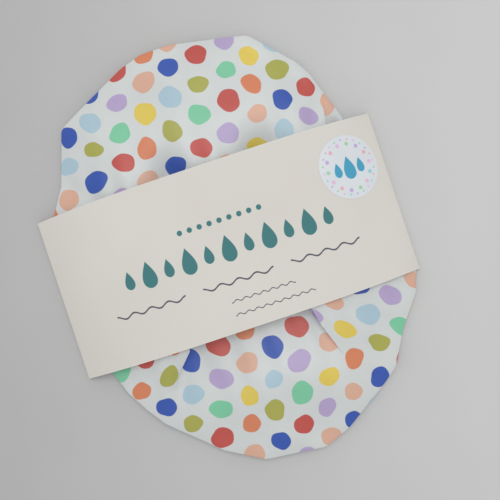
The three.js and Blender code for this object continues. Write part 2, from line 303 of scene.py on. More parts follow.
def gather_phase(turn):
    """The gathers go round unevenly, as the elastic leaves them."""
    return with_waves(GATHERS * turn, turn, GATHER_DRIFT)


def pucker(turn):
    """0 between two gathers and 1 on the crest of one."""
    return 0.5 - 0.5 * math.cos(gather_phase(turn))


def seam_level(turn):
    """The printed face of the crown at its edge, where the casing is sewn on."""
    return SEAM_LEVEL + SEAM_PUCKER * pucker(turn)


def underside(edge_place, share):
    """A point of the gathered underside, from the rolled edge, at share 0, to the hem, at share 1."""
    own = Matrix.Rotation(-CAP_TURN, 2) @ edge_place
    turn = math.atan2(own.y / CAP_HALF[1], own.x / CAP_HALF[0])
    rim = hem_place(turn, RIM_START)
    along = (hem_place(turn + TURN_AHEAD, RIM_START) - rim).normalized()
    sewn = 1 - SEWN_WIDTH / (edge_place - rim).length
    near_hem = smooth(share, GATHER_CREST, sewn)
    rise = math.sin(min(1, share / GATHER_CREST) * math.pi / 2) * smooth(share, 0, GATHER_FOOT)
    uneven = with_waves(GATHER_MEAN, turn, GATHER_SWAY)
    height = mix(GATHER_RISE * rise * uneven, SEAM_PUCKER, near_hem)
    lean = GATHER_LEAN * rise * (1 - near_hem) * math.sin(gather_phase(turn))
    place = edge_place.lerp(rim, share) + along * lean
    base = mix(CAP_BASE, SEAM_LEVEL, min(1, share / sewn) ** 3)
    top_share = min(1, place.length / (edge_reach(place) - ROLL_OUT))
    above = min(crown_level(top_share, place, *tucked(spot)[1:]) for spot in (place, place * LAP_SPREAD))
    room = max(0, above - base - GATHER_CLEARANCE)
    return place, base + min(room, height * pucker(turn))


def turning_radius(spoke):
    """How far out along a spoke of the flat circle the cloth turns under."""
    low, high = SEARCH_START, FLAT_RADIUS
    for _ in range(SEARCH_HALVINGS):
        middle = (low + high) / 2
        place = tucked(spoke * middle)[0]
        if place.length < edge_reach(place) - ROLL_OUT:
            low = middle
        else:
            high = middle
    return low


turning = []
for spoke in range(SPOKES):
    turn = 2 * math.pi * spoke / SPOKES
    turning.append(turning_radius(Vector((math.cos(turn), math.sin(turn)))))


def spoke_through(flat):
    """The number of the spoke that a point of the flat circle lies on or nearest to."""
    return round(math.atan2(flat.y, flat.x) / (2 * math.pi) * SPOKES) % SPOKES


def ring_radius(spoke, ring):
    """Rings of the flat circle: even on top, close together in the roll, even again to the hem."""
    if ring <= TOP_RINGS:
        return turning[spoke] * ring / TOP_RINGS
    if ring <= TOP_RINGS + ROLL_RINGS:
        return turning[spoke] + math.pi * ROLL * (ring - TOP_RINGS) / ROLL_RINGS
    share = (ring - TOP_RINGS - ROLL_RINGS) / UNDER_RINGS
    return mix(turning[spoke] + math.pi * ROLL, FLAT_RADIUS, share)


def folded(flat):
    """Where a point of the flat circle lies on the folded cap."""
    spoke = spoke_through(flat)
    beyond = flat.length - turning[spoke]
    if beyond <= 0:
        place, valley, tongue = tucked(flat)
        share = min(1, place.length / (edge_reach(place) - ROLL_OUT))
        return Vector((*place, crown_level(share, place, valley, tongue)))
    edge_place = tucked(flat.normalized() * turning[spoke])[0]
    if beyond < math.pi * ROLL:
        bend = beyond / ROLL
        place = edge_place + edge_place.normalized() * ROLL_OUT * math.sin(bend)
        return Vector((*place, CAP_BASE + ROLL * (1 + math.cos(bend)) + rim_lift(edge_place)))
    share = (beyond - math.pi * ROLL) / (FLAT_RADIUS - turning[spoke] - math.pi * ROLL)
    place, level = underside(edge_place, share)
    return Vector((*place, level + rim_lift(edge_place) * (1 - smooth(share, 0, RIM_LIFT_FADE))))


def spin_round(bm, steps):
    """Spins what a mesh holds once round the Z axis, and closes it where the round meets its start."""
    whole = bm.verts[:] + bm.edges[:]
    bmesh.ops.spin(bm, geom=whole, axis=(0, 0, 1), angle=2 * math.pi, steps=steps, use_merge=True)
    bmesh.ops.remove_doubles(bm, verts=bm.verts[:], dist=MERGE)
    bmesh.ops.recalc_face_normals(bm, faces=bm.faces[:])


def face_up(bm):
    """Turns all faces over if the highest one looks down."""
    highest = max(bm.faces, key=lambda face: face.calc_center_median().z)
    highest.normal_update()
    if highest.normal.z < 0:
        bmesh.ops.reverse_faces(bm, faces=bm.faces[:])


def flat_disc(radius, rings, spokes):
    """A flat disc of rings and spokes that looks up."""
    bm = bmesh.new()
    radius_line = bm.edges.new([bm.verts.new((0, 0, 0)), bm.verts.new((radius, 0, 0))])
    bmesh.ops.subdivide_edges(bm, edges=[radius_line], cuts=rings - 1)
    spin_round(bm, spokes)
    face_up(bm)
    return bm


def cut_cloth(bm, centre, start, end):
    """Cuts the flat cloth along the line through two points, in the faces near a tuck's stretch."""
    slack = CREASE_CUT_STRETCH if start.y == end.y else 0
    faces = []
    for face in bm.faces:
        middle = face.calc_center_median()
        if start.y - slack < middle.y < end.y + slack and abs(middle.x - centre) < CREASE_CUT_REACH:
            faces.append(face)
    lines = dict.fromkeys(line for face in faces for line in face.edges)
    corners = dict.fromkeys(vert for face in faces for vert in face.verts)
    near = [*faces, *lines, *corners]
    square = Vector((start.y - end.y, end.x - start.x, 0))
    bmesh.ops.bisect_plane(bm, geom=near, dist=MERGE, plane_co=(*start, 0), plane_no=square)


def cut_creases(bm, tuck):
    """Cuts the flat cloth along both creases of a tuck, so that it folds on clean lines."""
    side, knots = tuck
    for x, y, hidden, softness in knots:
        cut_cloth(bm, x, Vector((x - CREASE_CUT_REACH, y)), Vector((x + CREASE_CUT_REACH, y)))
    for stretch in zip(knots, knots[1:]):
        for share in CREASES:
            ends = [Vector((x + side * share * hidden, y)) for x, y, hidden, softness in stretch]
            cut_cloth(bm, (ends[0].x + ends[1].x) / 2, *ends)


def lay_flat_map(bm, name, width=1, length=1):
    """Keeps each point's place on the flat piece, in metres, as the pattern's own map."""
    layer = bm.loops.layers.uv.new(name)
    for face in bm.faces:
        for loop in face.loops:
            loop[layer].uv = (loop.vert.co.x * width, loop.vert.co.y * length)


def new_piece(name, bm, *materials):
    """A mesh object at the origin, from a bmesh: smooth, with its open edges and sharp folds left crisp."""
    bm.normal_update()
    for face in bm.faces:
        face.smooth = True
    for line in bm.edges:
        line.smooth = line.calc_face_angle(math.pi) < CRISP_FOLD
    mesh = bpy.data.meshes.new(name)
    bm.to_mesh(mesh)
    bm.free()
    piece = bpy.data.objects.new(name, mesh)
    bpy.context.collection.objects.link(piece)
    for material in materials:
        mesh.materials.append(material)
    return piece


def give_thickness(piece, thickness):
    """A wall that goes inwards from the modelled face, with the second material on its inner side."""
    wall = piece.modifiers.new("thickness", "SOLIDIFY")
    wall.thickness = thickness
    wall.offset = -1
    wall.material_offset = 1


def finish(name):
    """A new material, with its node tree and its shader."""
    material = bpy.data.materials.new(name)
    material.use_nodes = True
    return material, material.node_tree, material.node_tree.nodes["Principled BSDF"]


def add(tree, kind, inputs=(), out=0, **settings):
    """A shader node; inputs are values or sockets, in order or by name. Gives one of its output sockets."""
    made = tree.nodes.new("ShaderNode" + kind)
    for setting, value in settings.items():
        setattr(made, setting, value)
    given = inputs.items() if isinstance(inputs, dict) else enumerate(inputs)
    for socket, value in given:
        if isinstance(value, bpy.types.NodeSocket):
            tree.links.new(value, made.inputs[socket])
        else:
            made.inputs[socket].default_value = value
    return made.outputs[out]


def calc(tree, operation, *values, **settings):
    return add(tree, "Math", values, operation=operation, **settings)


def part_of(tree, vector, axis):
    """One of the three numbers in a vector."""
    return add(tree, "SeparateXYZ", [vector], out=axis)


def length_of(tree, vector):
    return add(tree, "VectorMath", [vector], out="Value", operation="LENGTH")


def blend(tree, share, first, second, way="MIX"):
    """One colour over another."""
    return add(tree, "Mix", {0: share, 6: first, 7: second}, out=2, data_type="RGBA", blend_type=way)


def ramp(tree, share, stops, interpolation="LINEAR"):
    """Colours at places from 0 to 1."""
    made = tree.nodes.new("ShaderNodeValToRGB")
    made.color_ramp.interpolation = interpolation
    while len(made.color_ramp.elements) < len(stops):
        made.color_ramp.elements.new(0.5)
    for element, (position, colour) in zip(made.color_ramp.elements, stops):
        element.position = position
        element.color = colour
    tree.links.new(share, made.inputs[0])
    return made.outputs[0]


def mottled(tree, share, darker, lighter):
    """Two shades of one colour, mixed by a noise, which keeps mostly between 0.3 and 0.7."""
    return ramp(tree, share, [(0.3, darker), (0.7, lighter)])


def within(tree, distance, soft):
    """1 where a distance is below 0 and 0 above it, with a soft edge."""
    span = {"Value": distance, "From Min": soft, "From Max": -soft}
    return add(tree, "MapRange", span, interpolation_type="SMOOTHSTEP")


def raise_surface(tree, shader, height, strength, distance):
    """A bump on the surface."""
    bump = add(tree, "Bump", {"Strength": strength, "Distance": distance, "Height": height})
    tree.links.new(bump, shader.inputs["Normal"])


def ink(red, green, blue):
    """A colour as it is seen, in 0 to 255, in the shader's own numbers."""
    shares = [value / 255 for value in (red, green, blue)]
    return [v / 12.92 if v <= 0.04045 else ((v + 0.055) / 1.055) ** 2.4 for v in shares] + [1]


GROUND = ink(209, 213, 212)
DOT_INKS = [
    ink(214, 130, 92), ink(171, 198, 211), ink(192, 80, 72), ink(222, 198, 88), ink(48, 84, 173),
    ink(124, 200, 161), ink(217, 172, 149), ink(169, 169, 81), ink(180, 163, 202),
]
DOT_PITCH = (0.0182, 0.0169)
DOT_TURN = math.radians(14)
DOT_RADIUS = (0.0055, 0.0068)
DOT_LOBES = ((2, 0.065), (3, 0.035), (5, 0.022))
DOT_WANDER = 0.0018
DOT_DRIFT = 0.008
DOT_DRIFT_SCALE = 22.0
DOT_SOFT = 0.00022
INK_STEPS = (0.7549, 0.5698)
INK_LUCK = 0.05
THREAD_PITCH = 0.00045
THREAD_SHARE = 0.25
WEAVE_HEIGHT = 0.0002


def weave(tree, shader, cloth, strength):
    """The fine plain weave and a slight unevenness, as a bump."""
    threads = []
    for axis in (0, 1):
        crossed = calc(tree, "MULTIPLY", part_of(tree, cloth, axis), math.pi / THREAD_PITCH)
        threads.append(calc(tree, "SINE", crossed))
    crossing = calc(tree, "MULTIPLY", *threads)
    uneven = add(tree, "TexNoise", {"Vector": cloth, "Scale": 260.0, "Detail": 3.0})
    height = calc(tree, "MULTIPLY_ADD", crossing, THREAD_SHARE, uneven)
    raise_surface(tree, shader, height, strength, distance=WEAVE_HEIGHT)


def cell_luck(tree, column, row, draw):
    """Three chance numbers from 0 to 1 for each dot of the print."""
    chance = add(tree, "TexWhiteNoise", {"Vector": add(tree, "CombineXYZ", [column, row, draw])}, out=1)
    return [part_of(tree, chance, axis) for axis in range(3)]


def dot_cells(tree, cloth):
    """Places on the cloth in dot pitches, across and up, on a turned lattice that drifts a little."""
    drift = add(tree, "TexNoise", {"Vector": cloth, "Scale": DOT_DRIFT_SCALE, "Detail": 0.0}, out=1)
    drift = add(tree, "VectorMath", [drift, (0.5, 0.5, 0.5)], operation="SUBTRACT")
    drift = add(tree, "VectorMath", [drift, (DOT_DRIFT, DOT_DRIFT, 0)], operation="MULTIPLY")
    place = add(tree, "VectorMath", [cloth, drift], operation="ADD")
    lattice = {"Vector": place, "Rotation": (0, 0, DOT_TURN), "Scale": (*DOT_PITCH, 1)}
    cells = add(tree, "Mapping", lattice, vector_type="TEXTURE")
    return part_of(tree, cells, 0), part_of(tree, cells, 1)


def dot_print(tree, cloth):
    """Pebble-shaped dots in nine inks, in staggered rows, on the white ground."""
    across, up = dot_cells(tree, cloth)
    row = calc(tree, "FLOOR", up)
    staggered = calc(tree, "MULTIPLY_ADD", row, 0.5, across)
    column = calc(tree, "FLOOR", staggered)
    luck = cell_luck(tree, column, row, draw=0.0)
    from_middle = []
    for position, pitch, chance in zip((staggered, up), DOT_PITCH, luck):
        inside = calc(tree, "MULTIPLY", calc(tree, "SUBTRACT", calc(tree, "FRACT", position), 0.5), pitch)
        wander = calc(tree, "MULTIPLY", calc(tree, "SUBTRACT", chance, 0.5), DOT_WANDER)
        from_middle.append(calc(tree, "SUBTRACT", inside, wander))
    distance = length_of(tree, add(tree, "CombineXYZ", from_middle))
    radius = calc(tree, "MULTIPLY_ADD", luck[2], DOT_RADIUS[1] - DOT_RADIUS[0], DOT_RADIUS[0])
    bearing = calc(tree, "ARCTAN2", from_middle[1], from_middle[0])
    swelling = 1.0
    for (lobes, swell), turned in zip(DOT_LOBES, cell_luck(tree, column, row, draw=1.0)):
        phase = calc(tree, "MULTIPLY", turned, 2 * math.pi)
        lobe = calc(tree, "COSINE", calc(tree, "MULTIPLY_ADD", bearing, lobes, phase))
        swelling = calc(tree, "MULTIPLY_ADD", lobe, swell, swelling)
    outside = calc(tree, "SUBTRACT", distance, calc(tree, "MULTIPLY", radius, swelling))
    order = calc(tree, "MULTIPLY_ADD", column, INK_STEPS[0], calc(tree, "MULTIPLY", row, INK_STEPS[1]))
    order = calc(tree, "FRACT", calc(tree, "MULTIPLY_ADD", luck[0], INK_LUCK, order))
    stops = [(number / len(DOT_INKS), colour) for number, colour in enumerate(DOT_INKS)]
    return blend(tree, within(tree, outside, DOT_SOFT), GROUND, ramp(tree, order, stops, "CONSTANT"))


def dotted_cotton():
    """The printed face of the cotton, a little uneven in tone, under a clear satin film."""
    material, tree, shader = finish("dotted_laminated_cotton")
    cloth = add(tree, "UVMap", uv_map="flat_cloth")
    mottle = add(tree, "TexNoise", {"Vector": cloth, "Scale": 30.0, "Detail": 5.0})
    tone = mottled(tree, mottle, ink(246, 246, 247), ink(255, 255, 255))
    toned = blend(tree, 1.0, dot_print(tree, cloth), tone, "MULTIPLY")
    tree.links.new(toned, shader.inputs["Base Color"])
    rough = add(tree, "MapRange", {"Value": mottle, "To Min": 0.40, "To Max": 0.52})
    tree.links.new(rough, shader.inputs["Roughness"])
    weave(tree, shader, cloth, strength=0.25)
    shader.inputs["Coat Weight"].default_value = 0.12
    shader.inputs["Coat Roughness"].default_value = 0.3
    return material


def cotton_reverse():
    """The back of the cotton: white, matt and unprinted."""
    material, tree, shader = finish("cotton_reverse")
    cloth = add(tree, "UVMap", uv_map="flat_cloth")
    mottle = add(tree, "TexNoise", {"Vector": cloth, "Scale": 60.0, "Detail": 4.0})
    shade = mottled(tree, mottle, ink(216, 218, 216), ink(231, 232, 229))
    tree.links.new(shade, shader.inputs["Base Color"])
    weave(tree, shader, cloth, strength=0.4)
    shader.inputs["Roughness"].default_value = 0.8
    return material


cotton = dotted_cotton()
reverse = cotton_reverse()

rings = TOP_RINGS + ROLL_RINGS + UNDER_RINGS
bm = flat_disc(FLAT_RADIUS, rings, SPOKES)
for vert in bm.verts:
    ring = round(vert.co.length / FLAT_RADIUS * rings)
    vert.co = vert.co.normalized() * ring_radius(spoke_through(vert.co), ring)
for tuck in (RIGHT_TUCK, LEFT_TUCK, TONGUE):
    cut_creases(bm, tuck)
bmesh.ops.triangulate(bm, faces=[face for face in bm.faces if len(face.verts) > 4])
lay_flat_map(bm, "flat_cloth")
for vert in bm.verts:
    vert.co = folded(vert.co.xy)
crown = new_piece("crown_cloth", bm, cotton, reverse)
give_thickness(crown, CLOTH)
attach(crown, "cap")
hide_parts("crown_panel")


# Hem casing
# A strip of the same cotton folded over the cap's edge as a tube for the elastic and sewn down through
# all its layers. The elastic pulls it into small puckers that go on into the gathers.
CASING_WIDTH = 0.0137
CASING_FOLD = 0.0016
CHANNEL_END = 0.0102
CASING_CLOSED = 0.0129
CASING_LOW = 0.00125
CASING_LOW_PUCKER = 0.0001
CASING_HIGH = 0.0047
CASING_HIGH_PUCKER = 0.0020

# The strip's section is spun as a plain ring of this radius first, and then laid along the oval
SECTION_RADIUS = 0.1
CASING_CUTS = 9
CASING_BEND_STEPS = 8


def casing_place(turn, out, is_upper):
    """A point of the casing's outer face: round the elastic's channel, then closing on the crown's edge."""
    low = CASING_LOW + CASING_LOW_PUCKER * pucker(turn)
    high = CASING_HIGH + CASING_HIGH_PUCKER * pucker(turn)
    closing = smooth(out, CHANNEL_END, CASING_CLOSED)
    low = mix(low, seam_level(turn) - CLOTH - SEAM_SLACK, closing)
    high = mix(high, seam_level(turn) + 2 * CLOTH + SEAM_SLACK, closing)
    place = hem_place(turn, out)
    if out < CASING_FOLD:
        share = (CASING_FOLD - out) / CASING_FOLD
        middle = (low + high) / 2
        half = (high - low) / 2 * math.sqrt(max(0, 1 - share * share))
        return Vector((*place, middle + half if is_upper else middle - half))
    return Vector((*place, high if is_upper else low))


def lay_strip_map(bm, name):
    """The map of the strip laid out flat: along the circle's edge, and across it from its fold."""
    layer = bm.loops.layers.uv.new(name)
    for face in bm.faces:
        middle = face.calc_center_median()
        middle_turn = math.atan2(middle.y, middle.x)
        for loop in face.loops:
            co = loop.vert.co
            turn = math.atan2(co.y, co.x)
            turn += 2 * math.pi * round((middle_turn - turn) / (2 * math.pi))
            across = co.z + math.copysign(co.xy.length - SECTION_RADIUS, co.z)
            loop[layer].uv = (turn * FLAT_RADIUS, across)


bm = bmesh.new()
bend_middle = Vector((SECTION_RADIUS + CASING_FOLD, 0, 0))
upper = bm.verts.new(bend_middle + Vector((CASING_WIDTH - CASING_FOLD, 0, CASING_FOLD)))
bend_start = bm.verts.new(bend_middle + Vector((0, 0, CASING_FOLD)))
straight = [bm.edges.new([upper, bend_start])]
bent = bmesh.ops.spin(bm, geom=[bend_start], cent=bend_middle, axis=(0, -1, 0), angle=math.pi,
                      steps=CASING_BEND_STEPS)
bend_end = next(item for item in bent["geom_last"] if isinstance(item, bmesh.types.BMVert))
lower = bm.verts.new(bend_middle + Vector((CASING_WIDTH - CASING_FOLD, 0, -CASING_FOLD)))
straight.append(bm.edges.new([bend_end, lower]))
bmesh.ops.subdivide_edges(bm, edges=straight, cuts=CASING_CUTS)
spin_round(bm, SPOKES)
lay_strip_map(bm, "flat_cloth")
for vert in bm.verts:
    turn = math.atan2(vert.co.y, vert.co.x)
    vert.co = casing_place(turn, vert.co.xy.length - SECTION_RADIUS, vert.co.z > 0)
face_up(bm)
casing = new_piece("hem_casing_cloth", bm, cotton, reverse)
give_thickness(casing, CLOTH)
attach(casing, "cap")
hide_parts("hem_casing")


# Elastic and its lap
# Flat knitted elastic, 8 mm wide, goes once round inside the casing. Its ends lap, and a zigzag of
# thread across the lap joins them.
ELASTIC_WIDTH = 0.008
ELASTIC_LENGTH = 0.42
ELASTIC_THICKNESS = 0.0009
ELASTIC_START = 0.0021
ELASTIC_BASE = 0.00186
ELASTIC_STEP = 0.001
ELASTIC_ROWS = 8
RIB_PITCH = 0.001
KNIT_PITCH = 0.0008
KNIT_SHARE = 0.3
LAP_START = math.radians(10)
LAP_TURN = math.radians(15)
LAP_STITCHES = 10
ZIGZAG_SIDES = (0.1, 0.9)
THREAD = 0.00035
STITCH_REACH = 0.54


def knitted_elastic():
    """White elastic: lengthwise ribs of covered rubber, crossed by fine knit loops, with painted shade in
    the grooves between the ribs.
    """
    material, tree, shader = finish("knitted_elastic")
    band = add(tree, "UVMap", uv_map="flat_band")
    ribs = calc(tree, "SINE", calc(tree, "MULTIPLY", part_of(tree, band, 1), 2 * math.pi / RIB_PITCH))
    loops = calc(tree, "SINE", calc(tree, "MULTIPLY", part_of(tree, band, 0), 2 * math.pi / KNIT_PITCH))
    height = calc(tree, "MULTIPLY_ADD", loops, KNIT_SHARE, ribs)
    raise_surface(tree, shader, height, strength=0.6, distance=0.0003)
    # Painted shade: the colour is lighter on each rib's crest and darker in the grooves between, following
    # the bump.
    crest = calc(tree, "MULTIPLY_ADD", ribs, 0.5, 0.5)
    shade = ramp(tree, crest, [(0, ink(214, 213, 206)), (1, ink(238, 237, 231))])
    tree.links.new(shade, shader.inputs["Base Color"])
    shader.inputs["Roughness"].default_value = 0.85
    return material


def thread_fibre():
    """White polyester sewing thread, twisted, with a slight sheen."""
    material, tree, shader = finish("sewing_thread")
    place = add(tree, "TexCoord", out="Object")
    twist = add(tree, "TexNoise", {"Vector": place, "Scale": 4000.0, "Detail": 2.0})
    shade = mottled(tree, twist, ink(218, 219, 220), ink(243, 243, 243))
    tree.links.new(shade, shader.inputs["Base Color"])
    raise_surface(tree, shader, twist, strength=0.4, distance=0.0001)
    shader.inputs["Roughness"].default_value = 0.6
    shader.inputs["Sheen Weight"].default_value = 0.2
    return material


def elastic_level(turn):
    """The band's underside, which climbs on to its own first stretch at the end of its round."""
    lap = LAP_START + 2 * math.pi
    return ELASTIC_BASE + ELASTIC_STEP * smooth(turn, lap - LAP_TURN, lap)


def sew(bm, start, end):
    """One stitch of thread between two points, rounded off where it goes into the cloth."""
    run = end - start
    shape = Matrix.Diagonal((THREAD / 2, THREAD / 2, run.length * STITCH_REACH, 1))
    along = run.to_track_quat("Z", "Y").to_matrix().to_4x4()
    place = Matrix.Translation((start + end) / 2) @ along @ shape
    bmesh.ops.create_uvsphere(bm, u_segments=6, v_segments=5, radius=1, matrix=place)


bm = bmesh.new()
bmesh.ops.create_grid(bm, x_segments=SPOKES, y_segments=ELASTIC_ROWS, size=0.5)
lay_flat_map(bm, "flat_band", ELASTIC_LENGTH, ELASTIC_WIDTH)
for vert in bm.verts:
    turn = LAP_START + (vert.co.x + 0.5) * (2 * math.pi + LAP_TURN)
    place = hem_place(turn, ELASTIC_START + (vert.co.y + 0.5) * ELASTIC_WIDTH)
    vert.co = Vector((*place, elastic_level(turn)))
bmesh.ops.solidify(bm, geom=bm.faces[:], thickness=-ELASTIC_THICKNESS)
bmesh.ops.recalc_face_normals(bm, faces=bm.faces[:])
elastic = new_piece("elastic_band", bm, knitted_elastic())
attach(elastic, "cap")
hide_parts("elastic_loop")

thread = thread_fibre()
bm = bmesh.new()
zigzag_level = ELASTIC_BASE + ELASTIC_STEP + ELASTIC_THICKNESS + THREAD / 3
corners = []
for number in range(LAP_STITCHES + 1):
    turn = LAP_START + LAP_TURN * (number + 0.5) / (LAP_STITCHES + 1)
    out = ELASTIC_START + ELASTIC_WIDTH * ZIGZAG_SIDES[number % 2]
    corners.append(Vector((*hem_place(turn, out), zigzag_level)))
for start, end in zip(corners, corners[1:]):
    sew(bm, start, end)
zigzag = new_piece("elastic_zigzag", bm, thread)
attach(zigzag, "cap")
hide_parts("elastic_lap_stitch")


# Hem seam
# A lockstitch all round through the casing and the crown's edge: the needle thread shows outside, on
# the printed face, and the bobbin thread inside.
STITCH = 0.0026
STITCH_HOLES = (0.08, 0.92)
SEAM_OUT = 0.0120
SEAM_AHEAD = 0.001


def seam_stitches(level_of):
    """A stitch after every stitch length round the hem, at a level that follows the puckers."""
    bm = bmesh.new()
    turn = 0.0
    while turn < 2 * math.pi:
        ahead = hem_place(turn + SEAM_AHEAD, SEAM_OUT) - hem_place(turn, SEAM_OUT)
        after = turn + STITCH / ahead.length * SEAM_AHEAD
        holes = [mix(turn, after, share) for share in STITCH_HOLES]
        sew(bm, *(Vector((*hem_place(hole, SEAM_OUT), level_of(hole))) for hole in holes))
        turn = after
    return bm


def below_casing(turn):
    return casing_place(turn, SEAM_OUT, False).z


def above_casing(turn):
    return casing_place(turn, SEAM_OUT, True).z


for name, node, level_of in (("hem_needle_stitches", "hem_needle_thread", below_casing),
                             ("hem_bobbin_stitches", "hem_bobbin_thread", above_casing)):
    stitches = new_piece(name, seam_stitches(level_of), thread)
    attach(stitches, "cap")
    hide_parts(node)


# Card sleeve
# A band of cream uncoated card, printed on its front, folded at both ends and glued where its ends lap
# at the back. The cloth inside bows its front out.
CARD_STEPS = 200
CARD_ROWS = 48
FOLD_SHARE = 0.06
ARCH_SHARE = 0.55
LAP_HALF = 0.011
LAP_LIFT = 0.00055
LAP_RAMP = 0.004
FOLD_END = math.pi / 2 - math.atan(bow_slope(ARCH_HALF))
FRONT_HALF = 0.108
card_middle = (card_low.y + card_high.y) / 2
card_height = card_high.y - card_low.y

# Stock, lighter edges and inks
FIBRE_SHARE = 0.4
CLOUD_SHARE = 0.6
EDGE_LIGHTER_TINT = ink(224, 221, 215)
EDGE_LIGHTER_WIDTH = 0.0005
EDGE_LIGHTER_STRENGTH = 0.6
TEAL = ink(62, 121, 124)
SLATE = ink(84, 84, 98)
PRINT_SOFT = 0.00016

# Rows of print: how far up the card, then the pitch, the reach either way and the size of what repeats
DROPS_UP, DOTS_UP, WAVES_UP = -0.001, 0.0155, -0.0205
DROP_ROW = (0.0125, 0.069, (0.0165, 0.0115))
DROP_TAPER = 1.15
DROP_FULLNESS = 0.80
DOT_ROW = (0.0062, 0.027, 0.0016)
WAVE_ROW = (0.055, 0.081, 0.044)

# Waving lines: the wavelength, swing and weight of both kinds, and the x, y and length of the fine ones
BROAD_WAVE = (0.011, 0.0011, 0.0010)
FINE_WAVE = (0.0056, 0.0006, 0.0006)
FINE_WAVES = ((0.0118, -0.0314, 0.040), (0.0167, -0.0393, 0.050))


def card_fold(side, turn):
    """A point of the rounded fold at one end of the card."""
    out = FOLD_RADIUS * math.cos(turn)
    return Vector((side * (FOLD_CENTRE + out), FOLD_RADIUS + FOLD_RADIUS * math.sin(turn)))


def card_section(share):
    """The card's outer face, all the way round: lower flap, fold, front, fold and upper flap."""
    back = (1 - ARCH_SHARE) / 2 - FOLD_SHARE
    if share < back:
        return Vector((mix(LAP_HALF, -FOLD_CENTRE, share / back), 0))
    share -= back
    if share < FOLD_SHARE:
        return card_fold(-1, mix(-math.pi / 2, FOLD_END, share / FOLD_SHARE))
    share -= FOLD_SHARE
    if share < ARCH_SHARE:
        x = mix(-ARCH_HALF, ARCH_HALF, share / ARCH_SHARE)
        return Vector((x, bow_height(x)))
    share -= ARCH_SHARE
    if share < FOLD_SHARE:
        return card_fold(1, mix(FOLD_END, -math.pi / 2, share / FOLD_SHARE))
    x = mix(FOLD_CENTRE, -LAP_HALF, (share - FOLD_SHARE) / back)
    return Vector((x, LAP_LIFT * smooth(x, LAP_HALF + SEAT_GAP + LAP_RAMP, LAP_HALF + SEAT_GAP)))


def repeat(tree, across, pitch):
    """The number of the nearest of many things set side by side, and how far off its middle a place is."""
    number = calc(tree, "ROUND", calc(tree, "DIVIDE", across, pitch))
    return number, calc(tree, "MULTIPLY_ADD", number, -pitch, across)


def ended(tree, pattern, across, reach):
    """A row of print that stops at its reach either way."""
    past_end = calc(tree, "SUBTRACT", calc(tree, "ABSOLUTE", across), reach)
    return calc(tree, "MULTIPLY", pattern, within(tree, past_end, PRINT_SOFT))


def drop_row(tree, across, up, pitch, reach, heights):
    """Water drops side by side, tall and short by turns: 1 on a drop and 0 off it."""
    number, aside = repeat(tree, across, pitch)
    is_short = calc(tree, "MODULO", calc(tree, "ABSOLUTE", number), 2.0)
    height = calc(tree, "MULTIPLY_ADD", is_short, heights[1] - heights[0], heights[0])
    risen = calc(tree, "ADD", calc(tree, "DIVIDE", up, height), 0.5, use_clamp=True)
    narrowing = calc(tree, "POWER", calc(tree, "SUBTRACT", 1.0, risen), DROP_TAPER)
    belly = calc(tree, "MULTIPLY", calc(tree, "SQRT", risen), narrowing)
    half = calc(tree, "MULTIPLY", calc(tree, "MULTIPLY", belly, height), DROP_FULLNESS)
    beside = calc(tree, "SUBTRACT", calc(tree, "ABSOLUTE", aside), half)
    drop = within(tree, calc(tree, "ADD", beside, 2 * PRINT_SOFT), PRINT_SOFT)
    return ended(tree, drop, across, reach)


def dot_row(tree, across, up, pitch, reach, radius):
    """Small round dots side by side."""
    _, aside = repeat(tree, across, pitch)
    distance = length_of(tree, add(tree, "CombineXYZ", [aside, up]))
    dot = within(tree, calc(tree, "SUBTRACT", distance, radius), PRINT_SOFT)
    return ended(tree, dot, across, reach)


def wave(tree, aside, up, length, pen):
    """One waving line: 1 on the line and 0 off it. The pen is its wavelength, its swing and its weight."""
    wavelength, swing, weight = pen
    crest = calc(tree, "COSINE", calc(tree, "MULTIPLY", aside, 2 * math.pi / wavelength))
    off_line = calc(tree, "ABSOLUTE", calc(tree, "MULTIPLY_ADD", crest, -swing, up))
    line = within(tree, calc(tree, "SUBTRACT", off_line, weight / 2), PRINT_SOFT)
    return ended(tree, line, aside, length / 2)


def wave_row(tree, across, up, pitch, reach, length):
    """Short waving lines end to end, with gaps between them."""
    _, aside = repeat(tree, across, pitch)
    return ended(tree, wave(tree, aside, up, length, BROAD_WAVE), across, reach)


def front_print(tree, across, up, colour):
    """Drops and dots in teal and waving lines in grey, over the colour of the card."""
    drops = drop_row(tree, across, calc(tree, "SUBTRACT", up, DROPS_UP), *DROP_ROW)
    dots = dot_row(tree, across, calc(tree, "SUBTRACT", up, DOTS_UP), *DOT_ROW)
    colour = blend(tree, calc(tree, "MAXIMUM", drops, dots), colour, TEAL)
    lines = [wave_row(tree, across, calc(tree, "SUBTRACT", up, WAVES_UP), *WAVE_ROW)]
    for x, level, length in FINE_WAVES:
        aside = calc(tree, "SUBTRACT", across, x)
        above = calc(tree, "SUBTRACT", up, level)
        lines.append(wave(tree, aside, above, length, FINE_WAVE))
    for line in lines:
        colour = blend(tree, line, colour, SLATE)
    return colour


